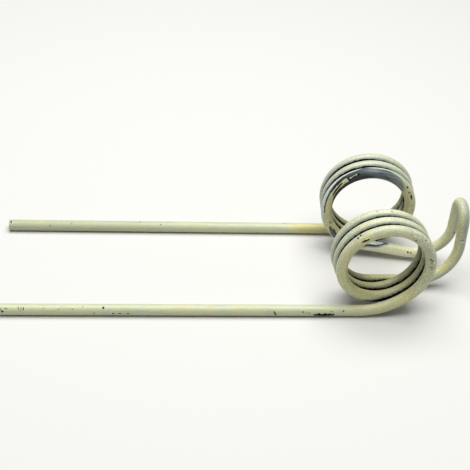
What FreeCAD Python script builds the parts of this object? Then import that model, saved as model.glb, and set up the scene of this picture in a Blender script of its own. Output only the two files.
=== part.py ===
import FreeCAD, Part
import math
import os
import Sketcher
from FreeCAD import Placement, Rotation, Vector

# A double spring tine for a rotary rake: one steel wire, bent cold.
# Along the wire: straight tine, wide lead-in bend, close-wound coil, hairpin loop for
# the clamping bolt, and then the same again in mirror image on the other side.
#
# The mirror plane is XZ. The tines point to -X and lie on the ground, and the loop stands
# up at the +X end. While the wire is being drawn up, x is 0 where the tines end and their
# lead-in bends start, and z is 0 on the tines' centre lines. The finished piece is then
# set on the ground, with the middle of its box over the origin.
#
# Lengths are in millimetres and angles in degrees.

SIZES = {
    "wire_diameter": "9",
    "tip_rounding": "0.8",
    # Straight tines, each up to the start of its lead-in bend.
    "tine_length": "281",
    "tine_spacing": "106.5",
    # Wide bend that takes a tine into the side of its coil.
    "lead_in_radius": "63.5",
    "lead_in_turn": "40",
    # Coils, with the turns and the gap between them, and the slant of each coil's axis.
    "coil_inner_diameter": "61",
    "coil_gap": "1.2",
    "coil_turns": "3",
    "coil_toe": "4.2",
    # Straight run that leaves the bottom of each coil, a little downwards.
    "exit_dip": "5.5",
    "exit_length": "40",
    # Hairpin loop: heel bend, upright, and the crown that joins the two uprights.
    "heel_radius": "31.5",
    "heel_turn": "97",
    "upright_length": "20",
    "loop_inner_width": "14",
}

# The half that is drawn up lies in front of the mirror plane, so its middle is to +Y.
TO_THE_MIDDLE = Vector(0, 1, 0)
ALONG_THE_TINE = Vector(1, 0, 0)
UP = Vector(0, 0, 1)

# The uprights lean by no more than this, and their lean is found to this closeness.
MOST_LEAN = 60
LEAN_CLOSENESS = 1e-11

# A point this near to the cut end counts as lying on it.
END_CLOSENESS = 0.01


def make_sheet(doc):
    """Put the driving sizes in a sheet, one named cell each."""
    sheet = doc.addObject("Spreadsheet::Sheet", "sizes")
    for row, (alias, number) in enumerate(SIZES.items(), start=1):
        cell = f"A{row}"
        sheet.set(cell, number)
        sheet.setAlias(cell, alias)
    doc.recompute()
    return sheet


def heading(tilt, sideways):
    """Direction that climbs by tilt in side view and runs sideways towards the middle."""
    along = math.cos(sideways)
    return Vector(along * math.cos(tilt), math.sin(sideways), along * math.sin(tilt))


def bend(start, heading_in, heading_out, radius):
    """Flat bend, tangent to both headings. Gives its edge and the point where it ends."""
    turn = heading_in.getAngle(heading_out)
    inward = (heading_out - heading_in * math.cos(turn)) / math.sin(turn)
    centre = start + inward * radius

    def point_at(angle):
        return centre + (heading_in * math.sin(angle) - inward * math.cos(angle)) * radius

    end = point_at(turn)
    return Part.Arc(start, point_at(turn / 2), end).toShape(), end


def straight(start, direction, length):
    """Straight stretch. Gives its edge and the point where it ends."""
    end = start + direction * length
    return Part.makeLine(start, end), end


class Coil:
    """Helix whose wire enters low, heading for +X, and climbs up the +X side.

    Its axis runs along Y, turned about Z by the toe, so that the coil's inner end
    lies a little nearer to the tines' tips than its outer end.
    """

    def __init__(self, sheet):
        self.radius = (sheet.coil_inner_diameter + sheet.wire_diameter) / 2
        self.pitch = sheet.wire_diameter + sheet.coil_gap
        self.lead = math.atan(self.pitch / (2 * math.pi * self.radius))
        self.first = math.radians(sheet.lead_in_turn)
        self.last = math.radians(360 * sheet.coil_turns - sheet.exit_dip)
        self.toe = Rotation(UP, sheet.coil_toe)

    def heading_at(self, turned):
        """Direction of the wire once it has turned that far from the tine's heading."""
        return self.toe.multVec(heading(turned, self.lead))

    def edges_from(self, start):
        """Helix edges from the end of the lead-in bend, and the point where they end."""
        width = self.pitch * (self.last - self.first) / (2 * math.pi)
        helix = Part.makeHelix(self.pitch, width, self.radius, 0, True)
        outward = Vector(math.sin(self.first), 0, -math.cos(self.first))
        upright = Rotation(outward, TO_THE_MIDDLE.cross(outward), TO_THE_MIDDLE, "ZXY")
        to_start = Placement(Vector(-self.radius, 0, 0), Rotation())
        helix.Placement = Placement(start, self.toe * upright) * to_start
        edges = helix.Edges
        end = edges[-1].valueAt(edges[-1].LastParameter)
        return edges, end


def hairpin_from(start, exit_heading, lean, sheet):
    """Heel, upright and crown of half the loop. Gives their edges and the crown's end."""
    crown_radius = (sheet.loop_inner_width + sheet.wire_diameter) / 2
    rise = heading(math.radians(sheet.heel_turn - sheet.exit_dip), math.radians(lean))
    heel, heel_end = bend(start, exit_heading, rise, sheet.heel_radius)
    upright, upright_end = straight(heel_end, rise, sheet.upright_length)
    crown, crown_end = bend(upright_end, rise, TO_THE_MIDDLE, crown_radius)
    return [heel, upright, crown], crown_end


def closing_lean(start, exit_heading, sheet):
    """Sideways lean of the upright that brings the crown's end into the mirror plane."""
    least, most = -MOST_LEAN, MOST_LEAN
    while most - least > LEAN_CLOSENESS:
        lean = (least + most) / 2
        crown_end = hairpin_from(start, exit_heading, lean, sheet)[1]
        if crown_end.y < 0:
            least = lean
        else:
            most = lean
    return lean


def half_wire(sheet):
    """Centre line of the wire from one tine's tip to the top of the loop."""
    coil = Coil(sheet)
    tip = Vector(-sheet.tine_length, -sheet.tine_spacing / 2, 0)
    tine, root = straight(tip, ALONG_THE_TINE, sheet.tine_length)
    entry = coil.heading_at(coil.first)
    lead_in, coil_start = bend(root, ALONG_THE_TINE, entry, sheet.lead_in_radius)
    turns, coil_end = coil.edges_from(coil_start)
    exit_heading = coil.heading_at(coil.last)
    exit_run, exit_end = straight(coil_end, exit_heading, sheet.exit_length)
    lean = closing_lean(exit_end, exit_heading, sheet)
    loop, _ = hairpin_from(exit_end, exit_heading, lean, sheet)
    return Part.Wire([tine, lead_in, *turns, exit_run, *loop])


def origin_plane(body, role):
    """One of the body's own base planes."""
    return next(plane for plane in body.Origin.OriginFeatures if plane.Role == role)


def section_sketch(body):
    """Round section of the wire, square to the tine at its tip."""
    sketch = body.newObject("Sketcher::SketchObject", "wire_section")
    sketch.AttachmentSupport = [(origin_plane(body, "YZ_Plane"), "")]
    sketch.MapMode = "FlatFace"
    sketch.setExpression("AttachmentOffset.Base.x", "-sizes.tine_spacing / 2")
    sketch.setExpression("AttachmentOffset.Base.z", "-sizes.tine_length")
    circle = sketch.addGeometry(Part.Circle(Vector(0, 0, 0), Vector(0, 0, 1), 1))
    sketch.addConstraint(Sketcher.Constraint("Coincident", circle, 3, -1, 1))
    diameter = sketch.addConstraint(Sketcher.Constraint("Diameter", circle, 2))
    sketch.setExpression(f"Constraints[{diameter}]", "sizes.wire_diameter")
    return sketch


def tip_edge(shape, sheet):
    """Name of the edge round the flat cut end of the tine."""
    for number, edge in enumerate(shape.Edges, start=1):
        if abs(edge.BoundBox.XMax + sheet.tine_length) < END_CLOSENESS:
            return f"Edge{number}"
    raise RuntimeError("the tine has no flat end")


def make_tine(doc, sheet):
    """The whole wire: one half swept along its centre line, and its mirror image."""
    centre_line = doc.addObject("Part::Feature", "half_centre_line")
    centre_line.Shape = half_wire(sheet)
    body = doc.addObject("PartDesign::Body", "spring_tine")
    body.Label = "spring_tine"
    section = section_sketch(body)
    path = body.newObject("PartDesign::SubShapeBinder", "wire_path")
    path.Support = [(centre_line, "")]
    doc.recompute()

    half = body.newObject("PartDesign::AdditivePipe", "half_tine")
    half.Profile = section
    half.Spine = (path, [f"Edge{n}" for n in range(1, len(path.Shape.Edges) + 1)])
    doc.recompute()

    cut_end = body.newObject("PartDesign::Fillet", "cut_end")
    cut_end.Base = (half, [tip_edge(half.Shape, sheet)])
    cut_end.setExpression("Radius", "sizes.tip_rounding")
    doc.recompute()

    both = body.newObject("PartDesign::Mirrored", "both_tines")
    both.TransformMode = "Whole shape"
    both.MirrorPlane = (origin_plane(body, "XZ_Plane"), [""])
    body.Tip = both
    doc.recompute()

    seat = on_the_ground(body.Shape)
    centre_line.Placement = seat
    body.Placement = seat
    doc.recompute()
    return body


def on_the_ground(shape):
    """Shift that puts the bottom of the shape's box on z = 0, centred on the origin."""
    box = shape.optimalBoundingBox(False)
    return Placement(Vector(-box.Center.x, -box.Center.y, -box.ZMin), Rotation())


def check(doc, body):
    """Stop if any object failed to build or the wire isn't one sound solid."""
    for item in doc.Objects:
        if "Invalid" in item.State or "Error" in item.State:
            raise RuntimeError(f"{item.Label} failed: {item.State}")
    shape = body.Shape
    if shape.isNull() or not shape.isValid() or len(shape.Solids) != 1:
        raise RuntimeError(f"{body.Label} isn't one sound solid")


def report(body, sheet):
    """Print the sizes that come out of the driving ones."""
    box = body.Shape.optimalBoundingBox(False)
    section = math.pi * sheet.wire_diameter ** 2 / 4
    length = 2 * body.Document.half_centre_line.Shape.Length
    print(f"overall {box.XLength:.2f} x {box.YLength:.2f} x {box.ZLength:.2f} mm")
    print(f"wire length {length:.2f} mm, section times length {section * length:.1f} mm3")
    print(f"volume {body.Shape.Volume:.1f} mm3, faces {len(body.Shape.Faces)}")


def main():
    doc = FreeCAD.newDocument("rotary_rake_tine")
    sheet = make_sheet(doc)
    body = make_tine(doc, sheet)
    check(doc, body)
    report(body, sheet)
    os.makedirs("parts", exist_ok=True)
    body.Shape.exportStep(f"parts/{body.Label}.step")


main()
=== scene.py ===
# %% [markdown]
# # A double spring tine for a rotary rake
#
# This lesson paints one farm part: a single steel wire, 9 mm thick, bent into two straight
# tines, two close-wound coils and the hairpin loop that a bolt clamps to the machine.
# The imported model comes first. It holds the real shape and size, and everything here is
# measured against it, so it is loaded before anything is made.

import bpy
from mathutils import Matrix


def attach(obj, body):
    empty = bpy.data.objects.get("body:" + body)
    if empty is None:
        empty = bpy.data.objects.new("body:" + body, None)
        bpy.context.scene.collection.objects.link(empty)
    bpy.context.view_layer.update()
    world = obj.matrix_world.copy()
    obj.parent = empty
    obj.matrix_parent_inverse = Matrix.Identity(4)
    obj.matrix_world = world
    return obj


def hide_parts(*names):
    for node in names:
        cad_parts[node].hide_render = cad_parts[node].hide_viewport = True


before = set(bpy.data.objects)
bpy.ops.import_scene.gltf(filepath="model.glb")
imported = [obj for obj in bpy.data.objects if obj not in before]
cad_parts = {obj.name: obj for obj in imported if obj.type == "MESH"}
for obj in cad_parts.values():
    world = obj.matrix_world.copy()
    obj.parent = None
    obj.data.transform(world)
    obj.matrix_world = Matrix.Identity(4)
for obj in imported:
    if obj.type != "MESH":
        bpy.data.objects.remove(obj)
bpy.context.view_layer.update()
cad_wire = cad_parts["spring_tine"]

# %% [markdown]
# ## The sizes of the bent wire
#
# A wire form is described the way its maker sets the bending bench: how long each straight
# is, how tight each bend is, and how far it turns. These are the only sizes of the object
# in this file, in millimetres and degrees, and every point of the wire follows from them.

# %% Write down the bending sizes
import bpy
import numpy as np
from math import pi

MM = 0.001

WIRE_DIAMETER = 9.0
TIP_ROUNDING = 0.8
TINE_LENGTH = 281.0
TINE_SPACING = 106.5
LEAD_IN_RADIUS = 63.5
LEAD_IN_TURN = 40.0
COIL_INNER_DIAMETER = 61.0
COIL_GAP = 1.2
COIL_TURNS = 3
COIL_TOE = 4.2
EXIT_DIP = 5.5
EXIT_LENGTH = 40.0
HEEL_RADIUS = 31.5
HEEL_TURN = 97.0
UPRIGHT_LENGTH = 20.0
LOOP_INNER_WIDTH = 14.0

WIRE_RADIUS = WIRE_DIAMETER / 2
COIL_RADIUS = (COIL_INNER_DIAMETER + WIRE_DIAMETER) / 2
COIL_PITCH = WIRE_DIAMETER + COIL_GAP
CROWN_RADIUS = (LOOP_INNER_WIDTH + WIRE_DIAMETER) / 2
print("coils:", 2 * COIL_RADIUS + WIRE_DIAMETER, "mm across, pitch", COIL_PITCH, "mm")

# %% [markdown]
# ## Straights, bends and turns as rows of points
#
# A curve object with a bevel could draw this wire, but it wouldn't say how far along the
# wire each point is, and the paint needs that: chips and scuffs sit at a place along the
# wire and at an angle around it. So the centre line is worked out as points, a step apart.
# Each helper takes the point where the last stretch ended and the heading of the wire there.

# %% Make the helpers for one stretch of wire
STEP = 1.5
TO_THE_MIDDLE = np.array([0.0, 1.0, 0.0])
ALONG_THE_TINE = np.array([1.0, 0.0, 0.0])


def heading(tilt, sideways):
    """Direction that climbs by tilt in side view and runs sideways to the middle, in radians."""
    flat = np.cos(sideways)
    return np.array([flat * np.cos(tilt), np.sin(sideways), flat * np.sin(tilt)])


def straight(start, direction, length):
    """Points of a straight stretch, without its first one."""
    count = int(np.ceil(length / STEP))
    return start + np.linspace(0, length, count + 1)[1:, None] * direction


def bend(start, heading_in, heading_out, radius):
    """Points of a flat bend that is tangent to both headings, without its first one."""
    turn = np.arccos(np.dot(heading_in, heading_out))
    inward = (heading_out - heading_in * np.cos(turn)) / np.sin(turn)
    count = int(np.ceil(radius * turn / STEP))
    angle = np.linspace(0, turn, count + 1)[1:, None]
    return start + radius * (inward * (1 - np.cos(angle)) + heading_in * np.sin(angle))


# %% [markdown]
# ## The coil
#
# The wire enters the coil low, heading for the loop, climbs the outer side and comes round
# three times, moving one pitch towards the middle with each turn. A helix has one formula
# for its point and one for its heading. Both are turned a few degrees about the upright
# axis, because the real coils are toed in: their inner ends lean towards the tines' tips.

# %% Make the helper for the coil
LEAD_ANGLE = np.arctan(COIL_PITCH / (2 * pi * COIL_RADIUS))
FIRST_ANGLE = np.radians(LEAD_IN_TURN)
LAST_ANGLE = np.radians(360 * COIL_TURNS - EXIT_DIP)


def toed(vectors):
    """Turn vectors about the upright axis by the toe of the coil."""
    toe = np.radians(COIL_TOE)
    turn = np.array([[np.cos(toe), -np.sin(toe), 0], [np.sin(toe), np.cos(toe), 0], [0, 0, 1]])
    return np.asarray(vectors) @ turn.T


def coil_heading(turned):
    """Direction of the wire in the coil once it has turned so far, in radians."""
    return toed(heading(turned, LEAD_ANGLE))


def coil(start):
    """Points of the turns from the end of the lead-in bend, without the first one."""
    length = COIL_RADIUS * (LAST_ANGLE - FIRST_ANGLE)
    turned = np.linspace(FIRST_ANGLE, LAST_ANGLE, int(np.ceil(length / STEP)) + 1)
    across = COIL_PITCH * turned / (2 * pi)
    helix = np.stack([np.sin(turned), across / COIL_RADIUS, -np.cos(turned)], axis=1)
    placed = toed(helix * COIL_RADIUS)
    return start + (placed - placed[0])[1:]


print("one coil holds", round(COIL_RADIUS * (LAST_ANGLE - FIRST_ANGLE) / np.cos(LEAD_ANGLE)), "mm of wire")

# %% [markdown]
# ## From the tine's tip to the top of the loop
#
# The stretches are joined in the order in which the wire is bent. Only one thing has to be
# solved for: the two halves have to meet at the top of the loop, so the uprights lean a
# little to one side. The lean is found by halving the range that holds it until it is exact.

# %% Walk one half of the wire
MOST_LEAN = 60.0
LEAN_CLOSENESS = 1e-9


def hairpin(start, exit_heading, lean):
    """Heel, upright and half a crown, with the number of points up to the crown."""
    rise = heading(np.radians(HEEL_TURN - EXIT_DIP), np.radians(lean))
    heel = bend(start, exit_heading, rise, HEEL_RADIUS)
    upright = straight(heel[-1], rise, UPRIGHT_LENGTH)
    crown = bend(upright[-1], rise, TO_THE_MIDDLE, CROWN_RADIUS)
    return np.concatenate([heel, upright, crown]), len(heel) + len(upright)


def closing_lean(start, exit_heading):
    """The lean of the uprights, in degrees, that ends the crown in the mirror plane."""
    least, most = -MOST_LEAN, MOST_LEAN
    while most - least > LEAN_CLOSENESS:
        lean = (least + most) / 2
        if hairpin(start, exit_heading, lean)[0][-1, 1] < 0:
            least = lean
        else:
            most = lean
    return lean


tip = np.array([[-TINE_LENGTH, -TINE_SPACING / 2, 0.0]])
tine = straight(tip[0], ALONG_THE_TINE, TINE_LENGTH)
lead_in = bend(tine[-1], ALONG_THE_TINE, coil_heading(FIRST_ANGLE), LEAD_IN_RADIUS)
turns = coil(lead_in[-1])
exit_run = straight(turns[-1], coil_heading(LAST_ANGLE), EXIT_LENGTH)
lean = closing_lean(exit_run[-1], coil_heading(LAST_ANGLE))
loop, points_to_crown = hairpin(exit_run[-1], coil_heading(LAST_ANGLE), lean)
half = np.concatenate([tip, tine, lead_in, turns, exit_run, loop])
print("half of the wire:", len(half), "points, uprights lean", round(lean, 2), "degrees")

# %% [markdown]
# ## Two directions across the wire
#
# A tube needs to know which way is up as it goes along. Here each point gets two directions
# across the wire: one to the outer side of the bend, and one towards the middle of the
# object. They follow from the heading alone, except on the crown, where the wire runs
# straight for the middle. There the outer side is kept as it was at the crown's foot.
# The other half is the same points in reverse with Y turned round.

# %% Give every point its distance along the wire and its two directions
heading_here = np.gradient(half, axis=0)
heading_here[-1] = TO_THE_MIDDLE
heading_here /= np.linalg.norm(heading_here, axis=1)[:, None]
outward = np.cross(TO_THE_MIDDLE, heading_here)
crown_foot = len(half) - len(loop) + points_to_crown - 1
outward[crown_foot:] = outward[crown_foot]
outward /= np.linalg.norm(outward, axis=1)[:, None]
inner = np.cross(heading_here, outward)

MIRROR = np.array([1.0, -1.0, 1.0])
centre = np.concatenate([half, (half * MIRROR)[-2::-1]])
outward = np.concatenate([outward, (outward * MIRROR)[-2::-1]])
inner = np.concatenate([inner, (inner * MIRROR)[-2::-1]])
along = np.concatenate([[0.0], np.cumsum(np.linalg.norm(np.diff(centre, axis=0), axis=1))])
WIRE_LENGTH = along[-1]
print("whole wire:", round(WIRE_LENGTH, 1), "mm in", len(centre), "points")

# %% [markdown]
# ## The skin of the wire
#
# Rings of vertices are set round the centre line and joined by four-sided faces. At each
# cut end the last rings shrink along a quarter circle, which is the rounded edge of the
# real cut, and one flat face closes the end. The whole wire is then lowered on to the
# ground and centred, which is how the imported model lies.

# %% Build the rings
AROUND = 40
ROUNDING_RINGS = 5


def tip_profile():
    """Distances in from the cut end and ring radii that round off the edge of the cut."""
    angle = np.linspace(0, pi / 2, ROUNDING_RINGS + 1)
    inset = TIP_ROUNDING * (1 - np.sin(angle))
    radius = WIRE_RADIUS - TIP_ROUNDING * (1 - np.cos(angle))
    return inset[::-1], radius[::-1]


inset, tip_radius = tip_profile()
first_full = int(np.searchsorted(along, TIP_ROUNDING)) + 1
kept = slice(first_full, len(along) - first_full)
ring_along = np.concatenate([inset, along[kept], WIRE_LENGTH - inset[::-1]])
ring_radius = np.concatenate([tip_radius, np.full(len(along[kept]), WIRE_RADIUS), tip_radius[::-1]])


def at_rings(values):
    """Values of the centre line's points, read off at the rings."""
    return np.stack([np.interp(ring_along, along, values[:, k]) for k in range(3)], axis=1)


ring_centre = at_rings(centre)
ring_outward = at_rings(outward)
ring_inner = at_rings(inner)
around = np.linspace(0, 2 * pi, AROUND, endpoint=False)
spokes = (
    ring_outward[:, None, :] * np.cos(around)[None, :, None]
    + ring_inner[:, None, :] * np.sin(around)[None, :, None]
)
skin = ring_centre[:, None, :] + spokes * ring_radius[:, None, None]
lowest = skin.min(axis=(0, 1))
highest = skin.max(axis=(0, 1))
seat = np.array([(lowest[0] + highest[0]) / 2, 0.0, lowest[2]])
skin -= seat
print("skin:", len(ring_along), "rings of", AROUND, "size", np.round(highest - lowest, 2), "mm")

# %% [markdown]
# ## From numbers to a mesh
#
# The rings become one closed mesh. A wire is 240 times as long as it is thick, so a flat map
# of its skin, for baking the paint into a picture, would be one thin line. The map cuts it
# into nine rows that lie one above the other, with the two cut ends in a strip of their own.
# Corners are mapped one by one, because a ring between two rows belongs to both.

# %% Make the wire
MAP_ROWS = 9
MAP_ROW = 0.1
MAP_MARGIN = 0.003
MAP_END_RADIUS = 0.04


def ring_faces(rings, segments):
    """Corner numbers of the four-sided faces between neighbouring rings."""
    ring, segment = np.meshgrid(np.arange(rings - 1), np.arange(segments), indexing="ij")
    here = ring * segments + segment
    beside = ring * segments + (segment + 1) % segments
    return np.stack([here, beside, beside + segments, here + segments], axis=-1).reshape(-1, 4)


def make_wire():
    """The mesh of the wire: its sides and the two flat cut ends."""
    rings = len(ring_along)
    vertices = (skin * MM).reshape(-1, 3)
    sides = ring_faces(rings, AROUND).tolist()
    front_end = list(range(AROUND))[::-1]
    rear_end = list(range((rings - 1) * AROUND, rings * AROUND))
    mesh = bpy.data.meshes.new("spring_wire")
    mesh.from_pydata(vertices.tolist(), [], sides + [front_end, rear_end])
    mesh.validate()
    mesh.update()
    mesh.shade_smooth()
    return mesh


def unroll(mesh):
    """Lay the skin out flat: rows of wire, then the two cut ends."""
    gaps = len(ring_along) - 1
    gaps_in_a_row = int(np.ceil(gaps / MAP_ROWS))
    gap, segment = np.meshgrid(np.arange(gaps), np.arange(AROUND), indexing="ij")
    lengthways = (gap % gaps_in_a_row)[..., None] + np.array([0, 0, 1, 1])
    across = segment[..., None] + np.array([0, 1, 1, 0])
    u = MAP_MARGIN + lengthways / gaps_in_a_row * (1 - 2 * MAP_MARGIN)
    v = MAP_MARGIN + across / AROUND * (MAP_ROW - 2 * MAP_MARGIN)
    v = v + (gap // gaps_in_a_row * MAP_ROW)[..., None]
    sides = np.stack([u, v], axis=-1).reshape(-1, 2)
    disc = MAP_END_RADIUS * np.stack([np.cos(around), np.sin(around)], axis=1)
    strip_middle = (MAP_ROWS + 0.5) * MAP_ROW
    front_end = disc[::-1] + (MAP_ROW, strip_middle)
    rear_end = disc + (2 * MAP_ROW, strip_middle)
    layer = mesh.uv_layers.new(name="OFBake")
    layer.data.foreach_set("uv", np.concatenate([sides, front_end, rear_end]).astype(np.float32).ravel())
    return gaps_in_a_row


wire_mesh = make_wire()
print("map:", MAP_ROWS, "rows of", unroll(wire_mesh), "rings")
wire = bpy.data.objects.new("wire", wire_mesh)
bpy.context.scene.collection.objects.link(wire)
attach(wire, "root")
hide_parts("spring_tine")
print("wire:", len(wire_mesh.polygons), "faces")

# %% [markdown]
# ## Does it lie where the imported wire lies?
#
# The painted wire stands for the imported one, so it has to be in the same place. The nearest
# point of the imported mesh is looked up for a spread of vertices. The usual distance should be
# a few hundredths of a millimetre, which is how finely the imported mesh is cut. The greatest is
# about two tenths, on the straight tines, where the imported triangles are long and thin.

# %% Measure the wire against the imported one
from mathutils import Matrix, Vector
from mathutils.bvhtree import BVHTree

CHECK_EVERY = 37
packed_corners = [v.co for v in cad_wire.data.vertices]
packed = BVHTree.FromPolygons(packed_corners, [tuple(p.vertices) for p in cad_wire.data.polygons])
spread = range(0, len(wire_mesh.vertices), CHECK_EVERY)
apart = [packed.find_nearest(wire_mesh.vertices[k].co)[3] for k in spread]
print("distance to the packed wire, usual:", round(float(np.median(apart)) / MM, 3), "mm")
print("distance to the packed wire, greatest:", round(max(apart) / MM, 3), "mm")

# %% [markdown]
# ## Where each point was on the straight wire
#
# The wire was straight before it was bent, and its paint is easiest to describe that way: so
# many millimetres from the front tip, and at such an angle around. Each vertex keeps its
# place on that straight wire as an attribute, x along and y and z across. Unlike a flat map
# it has no seam, so a noise pattern or a chip may lie anywhere. Angle 0 is the outer side of
# every bend, which is the bottom of a tine, and 180 is its top and the bore of a coil.

# %% Store the place on the straight wire
def store(name, values, kind="FLOAT", field="value"):
    """Give each vertex a number, or a vector, that a material can read by name."""
    layer = wire_mesh.attributes.new(name, kind, "POINT")
    layer.data.foreach_set(field, np.asarray(values, dtype=np.float32).ravel())


straightened = np.empty(skin.shape)
straightened[..., 0] = ring_along[:, None]
straightened[..., 1] = ring_radius[:, None] * np.cos(around)
straightened[..., 2] = ring_radius[:, None] * np.sin(around)
store("straightened", straightened, "FLOAT_VECTOR", "vector")
print("straight wire:", np.round(straightened.reshape(-1, 3).max(axis=0), 2), "mm")

# %% [markdown]
# ## How close the next turn is
#
# The turns of a coil rub on each other each time the tine works, so the paint is gone along
# the lines where they nearly touch, and dirt stays in there. The crease also lies in shade,
# and that shade is painted from the same room. A material can't see the next turn, so the
# room up to it is measured here for every vertex. Turns that lie close along the wire
# itself don't count, or every point would be its own neighbour.

# %% Measure the room to the next turn
OWN_STRETCH = 30.0
MOST_ROOM = 12.0

room = np.full(skin.shape[:2], MOST_ROOM)
seated_centre = ring_centre - seat
for ring, corners in enumerate(skin):
    others = np.abs(ring_along - ring_along[ring]) > OWN_STRETCH
    others &= np.linalg.norm(seated_centre - seated_centre[ring], axis=1) < MOST_ROOM + 2 * WIRE_RADIUS
    if others.any():
        away = np.linalg.norm(corners[:, None, :] - seated_centre[None, others, :], axis=2)
        room[ring] = np.minimum(away.min(axis=1) - WIRE_RADIUS, MOST_ROOM)
store("room", room)
print("least room between turns:", round(room.min(), 2), "mm")

# %% [markdown]
# ## Two places where the paint is gone
#
# High on the rear coil the paint has come off the innermost turn and the blue-grey steel
# shows, with a tongue of paint left in it. A smaller worn place lies where the wire leaves
# that coil. A border is described by a few points, each a distance along the wire and the
# angle around it. What is stored for a vertex is how far inside it lies, in millimetres, so
# that the material can fray the border with noise. Left of the bare patch the paint has worn
# thin up to a sharp end, and that margin is coloured a pale blue-white, a painted reflection,
# so it is stored as well.

# %% Draw the borders of the worn places
PATCH_START = 1268
PATCH_END = 1360
PATCH_BORDER = {
    1268: 60, 1276: 52, 1280: 46, 1285: 39, 1291: 28, 1296: 17, 1301: 8, 1306: 1, 1311: -4, 1315: -12,
    1318: -35, 1324: -8, 1330: 2, 1337: 4, 1345: 8, 1350: 25, 1360: 80,
}
PATCH_BORE_BORDER = {1268: 150, 1285: 140, 1291: 150, 1296: 180, 1302: 240}
TONGUE_START = 1240
TONGUE_END = 1304.5
TONGUE_BORDER = {1268: 68, 1276: 60, 1285: 51, 1291: 48, 1296: 45, 1304: 37}
TONGUE_BORE_BORDER = {1268: 150, 1277: 135, 1285: 105, 1291: 93, 1304: 84}
MARGIN_START = 1266
MARGIN_END = 1318
MARGIN_TOP = -45
EXIT_PATCH_START = 1196.5
EXIT_PATCH_END = 1223
EXIT_PATCH_BORDER = {
    1197: 182, 1198: 173, 1201: 153, 1203: 140, 1206: 130, 1212: 125, 1214: 118, 1217: 112, 1219: 125,
    1223: 170,
}
EXIT_PATCH_TOP = {1196: 190, 1199: 205, 1203: 216, 1209: 224, 1213: 214, 1218: 206, 1223: 172}
MM_PER_DEGREE = WIRE_RADIUS * pi / 180

degrees_around = (np.degrees(around)[None, :] + 90) % 360 - 90


def read_along(points):
    """What a row of points along the wire says at every ring."""
    return np.interp(ring_along, list(points.keys()), list(points.values()))[:, None]


def strip(low, high, start, end):
    """How far each vertex is inside a strip of the skin, in millimetres."""
    sides = np.minimum(degrees_around - low, high - degrees_around) * MM_PER_DEGREE
    ends = np.minimum(ring_along - start, end - ring_along)[:, None]
    return np.minimum(sides, ends)


tongue = strip(read_along(TONGUE_BORDER), read_along(TONGUE_BORE_BORDER), TONGUE_START, TONGUE_END)
bare_patch = strip(read_along(PATCH_BORDER), read_along(PATCH_BORE_BORDER), PATCH_START, PATCH_END)
bare_patch = np.minimum(bare_patch, -tongue)
exit_sides = read_along(EXIT_PATCH_BORDER), read_along(EXIT_PATCH_TOP)
exit_patch = strip(*exit_sides, EXIT_PATCH_START, EXIT_PATCH_END)
margin = strip(MARGIN_TOP, read_along(PATCH_BORDER), MARGIN_START, MARGIN_END)
store("bare_patch", bare_patch)
store("pale_margin", margin)
store("exit_patch", exit_patch)
print("vertices in worn places:", int((bare_patch > 0).sum() + (exit_patch > 0).sum()))

# %% [markdown]
# ## How the paint changes along the wire
#
# More things change slowly from one end of the wire to the other: how ochre the paint is,
# how olive the bores of the coils are, which is partly painted shade, how much soot and
# painted shade they hold, how dull the paint is, which on the loop's crown is painted shade
# too, how much painted cool light and shade tint it blue, how much painted light makes it
# pale, and how strong its mottle is. Two rows more say where the loop's sides get painted
# shade and where the crease's grime and painted shade reach further out. Each row holds a
# few places along the wire with an amount for each, read from the photo, and what lies
# between is filled in evenly. The rear tine turns ochre all at once, near its coil.

# %% Store how the paint changes along the wire
OCHRE_ALONG = {
    0: 0.05, 250: 0.1, 300: 0.4, 326: 0.8, 345: 0.4, 380: 0.1, 408: 0.2, 422: 0.7, 434: 1.1, 455: 1,
    480: 0.7, 521: 0.7, 560: 0.3, 600: 0.4, 632: 0.45, 742: 0.6, 800: 0.4, 852: 0.35, 905: 0.4, 980: 0.7,
    1040: 0.4, 1075: 0.1, 1100: 0, 1114: 0.9, 1135: 1.5, 1160: 1.2, 1175: 0, 1215: 0, 1240: 0.7, 1262: 1,
    1285: 0.8, 1305: 0.4, 1350: 0.3, 1365: 0.6, 1400: 0.4, 1546: 0.35, 1650: 0.3, 1766: 0.35, 1850: 0.3,
    1890: 1.5, 1914: 1.5, 1938: 0.8, 1942: 0.05, 2178: 0.05,
}
# How olive the bores are. The olive is partly painted shade.
OLIVE_ALONG = {
    300: 0.2, 370: 0.1, 400: 0.4, 440: 0.6, 500: 0.7, 530: 0.6, 552: 0.2, 605: 0.2, 640: 0.6, 700: 0.8,
    742: 1, 765: 0.7, 785: 0.2, 825: 0.2, 860: 0.6, 930: 1, 965: 1, 1000: 0.5, 1030: 0.15, 1155: 0.15,
    1175: 0.45, 1240: 0.7, 1850: 0.7,
}
# Soot and painted shade on one side of the bores.
SOOT_AND_SHADE_ALONG = {
    500: 0, 520: 0.15, 545: 0.2, 560: 0.45, 580: 0.45, 600: 0, 710: 0, 730: 0.15, 755: 0.3, 768: 0.6,
    800: 0.7, 815: 0.5, 840: 0, 922: 0, 932: 0.8, 950: 0.7, 962: 0.2, 980: 0, 1570: 0, 1588: 0.6,
    1594: 1.3, 1606: 1.3, 1612: 0.2, 1620: 0, 1800: 0, 1813: 0.9, 1826: 0.9, 1832: 0.1, 1840: 0.3,
    1860: 0,
}
# Dull, darker paint. On the loop's crown the darker colour is painted shade over its highlight.
DULL_ALONG = {
    338: 0, 350: 0.55, 378: 0.55, 392: 0, 1062: 0, 1078: 0.5, 1088: 0.9, 1098: 0.5, 1112: 0, 1940: 0,
    2010: 0.1, 2080: 0.7, 2178: 0.9,
}
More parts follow.
